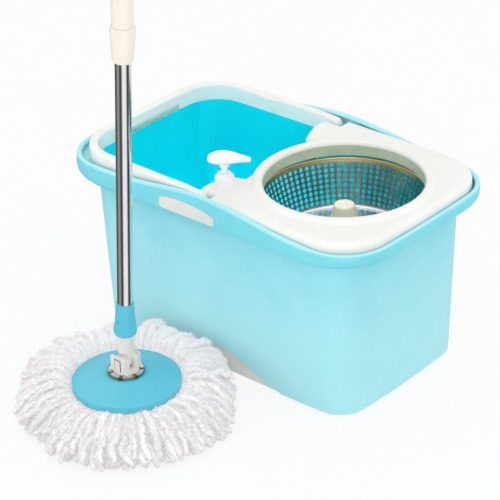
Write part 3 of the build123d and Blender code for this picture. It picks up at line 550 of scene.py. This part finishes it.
# The latch gap is a dark slab: painted shade in the groove around the latch
LATCH_GAP_SHADE = [(-5.6, 68.5), (-5.6, 86), (5.6, 86), (5.6, 68.5)]
LATCH = [(-4.4, 68.5), (-4.4, 84.8), (4.4, 84.8), (4.4, 68.5)]
CHEEK_OUT, CHEEK_IN, CHEEK_ROUND = -15.4 * MM, -12.9 * MM, 0.5 * MM
GAP_PROUD, LATCH_PROUD, LATCH_SUNK, LATCH_ROUND = 0.25 * MM, 0.9 * MM, 0.5 * MM, 0.3 * MM


def yoke_face():
    """Square cheeks on the yoke's fork, with the latch that shows on the front one, ringed by a dark slab of
    painted shade in its gap.
    """
    shape, gap_shade = bmesh.new(), bmesh.new()
    slab(shape, CHEEK, CHEEK_OUT, CHEEK_IN, MOP, CHEEK_ROUND)
    slab(shape, CHEEK, -CHEEK_IN, -CHEEK_OUT, MOP, CHEEK_ROUND)
    slab(gap_shade, LATCH_GAP_SHADE, CHEEK_OUT - GAP_PROUD, CHEEK_OUT + LATCH_SUNK, MOP)
    slab(shape, LATCH, CHEEK_OUT - LATCH_PROUD, CHEEK_OUT + LATCH_SUNK, MOP, LATCH_ROUND)
    for name, form, finish in (("yoke_cheeks", shape, "yoke"), ("yoke_latch_gap_shade", gap_shade, "gap_shade")):
        mesh = bpy.data.meshes.new(name)
        form.to_mesh(mesh)
        form.free()
        mesh.materials.append(FINISH[finish])
        fitted(name, mesh, "mop_yoke")


yoke_face()

# Inner wall of the cover's opening, its olive cream painted shade and painted reflection of the basket on the
# white cover plastic
OPENING_R, OPENING_LOW, OPENING_HIGH, OPENING_T = 109.6 * MM, 266 * MM, 281 * MM, 2.4 * MM
OPENING_STEPS = 120
opening = [(OPENING_R, OPENING_LOW), (OPENING_R, OPENING_HIGH),
           (OPENING_R + OPENING_T, OPENING_HIGH - OPENING_T), (OPENING_R + OPENING_T, OPENING_LOW)]
fitted("opening_wall", turned("opening_wall", opening, BASKET, OPENING_STEPS, "opening"), "basket_cover")

# Triangles of the cover that lie within this many degrees of each other become one face
COVER_FLAT = 0.4
rim_bead(smoothed("bucket_shell", BUCKET_FINISHES, bucket_face))
smoothed("basket_cover", ["white"], flat=COVER_FLAT)

# The pump spring gets a smooth copy with a mesh of its own
spring = smoothed("pump_spring", ["zinc"])
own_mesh(spring)

for node, shape in NODES.items():
    shape.data.materials.clear()
    shape.data.materials.append(FINISH[FINISH_OF_NODE.get(node) or FINISH_OF_SLOT[SLOT_OF[node]]])


# --- Mop strands: fluffy ropes that leave the ring under the disc, swell into a pad and droop ---

ROPE_SIZES = {
    "Ropes": 90, "Steps": 34, "Around": 9, "Start radius": 0.062, "Reach": 0.157, "Uneven": 0.018,
    "Start height": 0.035, "Crown height": 0.045, "Crown at": 0.38, "Tip height": 0.012, "Drop": 2.3,
    "Far crown": 0.022, "Far tip": 0.02, "Wall": 0.144, "Side": 0.146, "Near left": 0.147,
    "Rope radius": 0.0043, "Lean": 0.08, "Wander": 0.0035, "Fluff": 0.002, "Tufts": 140000.0,
    "Tuft length": 0.0046, "Turn": 0.0, "Seed": 1,
}
LAYERS = {
    "strands_upper": dict(Ropes=112, Seed=3),
    "strands_over": dict(Ropes=98, Start_height=0.029, Crown_height=0.036, Tip_height=0.009, Reach=0.159,
                         Turn=0.04, Seed=11),
    "strands_middle": dict(Ropes=80, Start_height=0.022, Crown_height=0.027, Tip_height=0.007, Far_crown=0.02,
                           Far_tip=0.014, Reach=0.159, Drop=1.9, Turn=0.02, Seed=17),
    "strands_lower": dict(Ropes=70, Start_height=0.014, Crown_height=0.017, Tip_height=0.005, Far_crown=0.014,
                          Far_tip=0.008, Reach=0.157, Drop=1.6, Turn=0.05, Seed=29),
    "strands_floor": dict(Ropes=60, Start_height=0.006, Crown_height=0.007, Tip_height=0.004, Far_crown=0.006,
                          Far_tip=0.002, Reach=0.15, Drop=1.4, Seed=43),
    "strands_stray": dict(Ropes=22, Reach=0.162, Uneven=0.012, Lean=0.16, Tip_height=0.018,
                          Crown_height=0.041, Wander=0.005, Seed=71),
}
# The strands are bunched up on the side that is far from the camera
BUNCHED = Vector((-0.667, 0.745, 0))
# They are cut short toward the bucket, on the right, where it crowds them, and at the near left
CUT_SHORT = {
    "Wall": Vector((0, 1, 0)), "Side": Vector((0.745, 0.667, 0)), "Near left": Vector((-0.231, -0.973, 0)),
}
LEAST_SHARE = 0.1  # ropes that lie further across such a direction are left alone
# Each rope draws these numbers for itself, from the layer's seed and a shift
DRAWS = {"bearing": 0, "lean": 11, "reach": 23, "crown": 37, "tip": 41, "tint": 53, "thickness": 61}
# Noise that makes the ropes wander: its steps along a rope, from rope to rope and from seed to seed, and how
# much it moves them sideways and up
SWAY_ALONG, SWAY_APART, SWAY_SEED, SWAY_SIDE, SWAY_HEIGHT = 4.2, 3.7, 97, 4.4, 2.4
RESTING_RADII = 1.2  # a rope's middle stays this many radii above the floor
LUMPS, PILE, FLUFF_GAIN = 260.0, 560.0, 2.6  # scales of the noise on a rope's surface, and its depth
# Room that the bucket leaves around the mop's axis when the head spins: at the floor, and up beside its wall
ROOM_LOW, ROOM_HIGH, ROOM_BAND = 0.159, 0.149, 0.004
ROOM_LOW_Z, ROOM_HIGH_Z = 0.012, 0.03
FLOOR_GAP = 0.0002
# Tufts are combed away from a point above the mop's foot, and spread a little
TUFT_SPREAD, TUFT_FOOT_R, COMBED_FROM = 0.7, 0.0006, MOP + Vector((0, 0, 0.05))


def rope_lines(g):
    """Bent lines, one for each rope, with the rope's thickness and tint."""
    steps, seed = g.size("Steps"), g.size("Seed")
    line = g.add("GeometryNodeCurvePrimitiveLine", End=(1, 0, 0))
    one = g.add("GeometryNodeResampleCurve", Curve=line.outputs[0], Count=steps)
    spots = g.add("GeometryNodeMeshLine", Count=g.size("Ropes"))
    many = g.add("GeometryNodeInstanceOnPoints", Points=spots.outputs[0], Instance=one.outputs[0])
    ropes = g.add("GeometryNodeRealizeInstances", Geometry=many.outputs[0]).outputs[0]
    index = Amount(g, g.add("GeometryNodeInputIndex").outputs[0])
    k = g.math("FLOOR", index / steps)
    along = g.math("MODULO", index, steps) / (steps - 1)

    def each(draw, low, high):
        """A number of its own for each rope."""
        return g.random(low, high, k, seed + DRAWS[draw])

    # Which way a rope goes, and how far it reaches
    angle = (k + each("bearing", -0.45, 0.45)) / g.size("Ropes") * math.tau + g.size("Turn")
    angle = angle + each("lean", -1.0, 1.0) * g.size("Lean") * (along * along)
    c, s = g.math("COSINE", angle), g.math("SINE", angle)
    longest = g.size("Reach")
    for limit, way in CUT_SHORT.items():
        toward = g.math("MAXIMUM", c * way.x + s * way.y, LEAST_SHARE)
        longest = g.math("MINIMUM", longest, g.size(limit) / toward)
    reach = longest - each("reach", 0.0, 1.0) * g.size("Uneven")
    start = g.size("Start radius")
    out = start + along * (reach - start)

    # It rises to a crown and falls to its tip; both are higher on the far side
    far = g.ease(c * BUNCHED.x + s * BUNCHED.y, -0.6, 0.55, 0.0, 1.0)
    crown = (g.size("Crown height") + far * g.size("Far crown")) * each("crown", 0.84, 1.03)
    tip = g.size("Tip height") * each("tip", 0.3, 1.7) + far * g.size("Far tip")
    rise = g.ease(along, 0.1, g.size("Crown at"), g.size("Start height"), crown)
    past = (along - g.size("Crown at")) / (1.0 - g.size("Crown at"))
    fall = g.math("POWER", g.math("MAXIMUM", past, 0.0), g.size("Drop"))
    height = rise + fall * (tip - crown)

    # It wanders sideways and up and down, more toward its end
    sway = g.add("ShaderNodeTexNoise", {"noise_dimensions": "2D"}, Scale=1.0, Detail=1.5,
                 Vector=g.vector(along * SWAY_ALONG, (k + seed * SWAY_SEED) * SWAY_APART, 0))
    drift = g.add("FunctionNodeSeparateColor", Color=sway.outputs["Color"])
    free = g.size("Wander") * g.ease(along, 0.05, 0.75, 0.1, 1.0)
    side = (Amount(g, drift.outputs[0]) - 0.5) * (free * SWAY_SIDE)
    bob = (Amount(g, drift.outputs[1]) - 0.5) * (free * SWAY_HEIGHT)
    height = g.math("MAXIMUM", height + bob, g.size("Rope radius") * RESTING_RADII)
    placed = g.add("GeometryNodeSetPosition", Geometry=ropes, Position=g.vector(
        out * c - side * s + MOP.x, out * s + side * c + MOP.y, height))
    shade = g.add("GeometryNodeStoreNamedAttribute", {"data_type": "FLOAT", "domain": "POINT"},
                  Geometry=placed.outputs[0], Name="rope_shade", Value=each("tint", 0.0, 1.0))
    taper = g.ease(along, 0.9, 1.0, 1.0, 0.55) * g.ease(along, 0.0, 0.3, 0.7, 1.0)
    thick = g.size("Rope radius") * each("thickness", 0.8, 1.15) * taper
    return g.add("GeometryNodeSetCurveRadius", Curve=shade.outputs[0], Radius=thick).outputs[0]


def rope_tubes(g, lines):
    """Tubes around the lines, with a lumpy surface."""
    ring = g.add("GeometryNodeCurvePrimitiveCircle", Resolution=g.size("Around"), Radius=1.0)
    tubes = g.add("GeometryNodeCurveToMesh", Curve=lines, Profile_Curve=ring.outputs[0], Fill_Caps=True,
                  Scale=g.add("GeometryNodeInputRadius").outputs[0])
    lumps = g.add("ShaderNodeTexNoise", Scale=LUMPS, Detail=1.0, Roughness=0.5)
    pile = g.add("ShaderNodeTexNoise", Scale=PILE, Detail=2.0, Roughness=0.6)
    rough = (Amount(g, pile.outputs["Fac"]) - 0.5) + (Amount(g, lumps.outputs["Fac"]) - 0.5)
    push = g.add("ShaderNodeVectorMath", {"operation": "SCALE"}, Scale=rough * (g.size("Fluff") * FLUFF_GAIN),
                 Vector=g.add("GeometryNodeInputNormal").outputs[0])
    return g.add("GeometryNodeSetPosition", Geometry=tubes.outputs[0], Offset=push.outputs[0]).outputs[0]


def rope_tufts(g, tubes):
    """Thin spikes all over the tubes, combed outward."""
    seed = g.size("Seed")
    roots = g.add("GeometryNodeDistributePointsOnFaces", Mesh=tubes, Density=g.size("Tufts"), Seed=seed)
    fibre = g.add("GeometryNodeMeshCone", {"fill_type": "NONE"}, Vertices=3, Radius_Top=0.0,
                  Radius_Bottom=TUFT_FOOT_R, Depth=g.size("Tuft length"))
    spread = g.add("FunctionNodeRandomValue", {"data_type": "FLOAT_VECTOR"}, Seed=seed)
    spread.inputs[0].default_value, spread.inputs[1].default_value = [-TUFT_SPREAD] * 3, [TUFT_SPREAD] * 3
    outward = g.vector_math("NORMALIZE", g.vector_math("SUBTRACT", g.position(), COMBED_FROM))
    loose = g.vector_math("ADD", outward, spread.outputs[0])
    combed = g.vector_math("ADD", loose, roots.outputs["Normal"])
    aimed = g.add("FunctionNodeAlignRotationToVector", {"axis": "Z"}, Vector=combed)
    return g.add("GeometryNodeInstanceOnPoints", Points=roots.outputs[0], Instance=fibre.outputs[0],
                 Rotation=aimed.outputs[0]).outputs[0]


def held_in_room(g, geometry):
    """Strands pressed together where they would leave the room around the mop, and kept above the floor."""
    x, y, z = g.split(g.position())
    east, north = x - MOP.x, y - MOP.y
    away = g.math("SQRT", east * east + north * north)
    room = g.ease(z, ROOM_LOW_Z, ROOM_HIGH_Z, ROOM_LOW, ROOM_HIGH) - ROOM_BAND
    past = g.math("MAXIMUM", away - room, 0.0)
    give = 1.0 - g.math("EXPONENT", past / -ROOM_BAND)
    held = g.math("MINIMUM", away, room + give * ROOM_BAND)
    pull = held / g.math("MAXIMUM", away, 0.0001)
    return g.add("GeometryNodeSetPosition", Geometry=geometry, Position=g.vector(
        east * pull + MOP.x, north * pull + MOP.y, g.math("MAXIMUM", z, FLOOR_GAP))).outputs[0]


def mop_strands():
    g = Shaper("mop_ropes", ROPE_SIZES)
    tubes = rope_tubes(g, rope_lines(g))
    both = g.add("GeometryNodeJoinGeometry")
    g.join(rope_tufts(g, tubes), both.inputs[0])
    g.join(g.add("GeometryNodeSetShadeSmooth", Geometry=tubes).outputs[0], both.inputs[0])
    whole = g.add("GeometryNodeRealizeInstances", Geometry=both.outputs[0])
    g.finish(held_in_room(g, whole.outputs[0]), yarn())
    for name, sizes in LAYERS.items():
        piece(name, g.mesh(name, **sizes), "mop_head", ["mop_strands"])


mop_strands()


# --- Camera at the photographed view ---

AZIMUTH, ELEVATION, ROLL = math.radians(41.83), math.radians(28.88), math.radians(-2.0)
AIM = Vector((-0.0338, -0.0192, 0.130))
DISTANCE = 3.1197
SENSOR_MM, LENS_MM = 36.0, 158.4
back = Vector((math.sin(AZIMUTH) * math.cos(ELEVATION), -math.cos(AZIMUTH) * math.cos(ELEVATION),
               math.sin(ELEVATION)))
right = Vector((math.cos(AZIMUTH), math.sin(AZIMUTH), 0))
up = back.cross(right)
across = right * math.cos(ROLL) + up * math.sin(ROLL)
upward = up * math.cos(ROLL) - right * math.sin(ROLL)
lens = bpy.data.cameras.new("camera")
lens.sensor_width, lens.lens = SENSOR_MM, LENS_MM
lens.clip_start, lens.clip_end = 0.1, 40.0
camera = bpy.data.objects.new("camera", lens)
rows = [list(row) for row in zip(across, upward, back, AIM + back * DISTANCE)]
camera.matrix_world = Matrix(rows + [[0, 0, 0, 1]])
bpy.context.scene.collection.objects.link(camera)
bpy.context.scene.camera = camera
bpy.context.scene.view_settings.view_transform = "Standard"


# --- Studio ---

SOFT_LIGHT = 0.86
FLOOR_HALF, FLOOR_Z, FLOOR_GLOW = 12.0, -0.0005, 0.85
FLAGS_TURN = math.radians(48.2)
# Share of a full turn around the mop, and the grey that mirrors see on the floor there
FLAGS = [(0.0, 0.4), (0.13, 0.12), (0.18, 0.05), (0.25, 0.27), (0.31, 0.4), (0.36, 0.11), (0.42, 0.05),
         (0.45, 0.3), (0.475, 1.0), (0.61, 1.0), (0.64, 0.25), (0.67, 0.05), (0.715, 0.05), (0.76, 0.6),
         (0.82, 0.75), (0.9, 0.95), (1.0, 0.9)]


def studio_world():
    """White where it is seen, soft light where it lights the object."""
    world = bpy.data.worlds.new("studio")
    bpy.context.scene.world = world
    world.use_nodes = True
    world.node_tree.nodes.clear()
    w = NodeTree(world.node_tree)
    seen = w.add("ShaderNodeBackground", Color=WHITE, Strength=1.0)
    soft = w.add("ShaderNodeBackground", Color=WHITE, Strength=SOFT_LIGHT)
    share = w.ray_share("Is Camera Ray", "Is Glossy Ray", "Is Transmission Ray")
    w.add("ShaderNodeOutputWorld", Surface=w.blend_shaders(share, soft, seen))


def soft_box(name, place, aim, size, power, spread=180.0, mirrored=True):
    lamp = bpy.data.lights.new(name, "AREA")
    lamp.spread = math.radians(spread)
    lamp.shape, lamp.size, lamp.size_y, lamp.energy = "RECTANGLE", size[0], size[1], power
    made = bpy.data.objects.new(name, lamp)
    made.location = place
    made.visible_glossy = mirrored
    made.rotation_mode = "QUATERNION"
    made.rotation_quaternion = (Vector(aim) - Vector(place)).to_track_quat("-Z", "Y")
    bpy.context.scene.collection.objects.link(made)


def floor():
    """White studio floor that keeps the shadow; mirrors see dark and pale flags on it, all around the mop."""
    mesh = bpy.data.meshes.new("floor")
    corners = [(-1, -1), (1, -1), (1, 1), (-1, 1)]
    mesh.from_pydata([(x * FLOOR_HALF, y * FLOOR_HALF, FLOOR_Z) for x, y in corners], [], [(0, 1, 2, 3)])
    f = Finish("floor_white")
    speck = f.ramp(f.noise(3.0, detail=2.0), [(0.3, (0.86, 0.86, 0.86, 1)), (0.7, (0.88, 0.88, 0.88, 1))])
    f.put(Base_Color=speck, Roughness=0.7)
    around = f.add("ShaderNodeVectorRotate", {"rotation_type": "Z_AXIS"}, Vector=f.place, Center=MOP,
                   Angle=FLAGS_TURN)
    bearing = f.bearing(f.vector_math("SUBTRACT", around.outputs[0], MOP))
    turn = f.span(bearing, 0.0, 1.0, -math.pi, math.pi)
    flags = f.ramp(turn, [(at, (grey, grey, grey, 1)) for at, grey in FLAGS])
    mirrored = f.ray_share("Is Glossy Ray")
    glow = f.add("ShaderNodeEmission", Color=f.mix(mirrored, WHITE, flags), Strength=1.0)
    seen = f.math("MULTIPLY", f.ray_share("Is Camera Ray", "Is Transmission Ray"), FLOOR_GLOW)
    shown = f.blend_shaders(f.math("MAXIMUM", seen, mirrored), f.surface, glow)
    f.join(shown, f.tree.nodes["Material Output"].inputs["Surface"])
    mesh.materials.append(f.material)
    made = bpy.data.objects.new("floor", mesh)
    bpy.context.scene.collection.objects.link(made)


studio_world()
soft_box("key", place=(2.1, -2.2, 1.75), aim=(0, 0, 0.15), size=(2.6, 2.0), power=15)
soft_box("side", place=(2.9, 0.6, 1.1), aim=(0, 0, 0.15), size=(1.8, 1.6), power=7, mirrored=False)
soft_box("fill", place=(-1.3, -2.5, 0.6), aim=(0, 0, 0.2), size=(2.0, 1.1), power=11, mirrored=False)
soft_box("top", place=(-0.3, 0.3, 3.0), aim=(0, 0, 0.15), size=(2.2, 2.2), power=5)
soft_box("bucket_light", place=(-0.12, 0.0, 1.1), aim=(-0.12, 0.0, 0.1), size=(0.12, 0.12), power=0.7,
         spread=10.0)
floor()
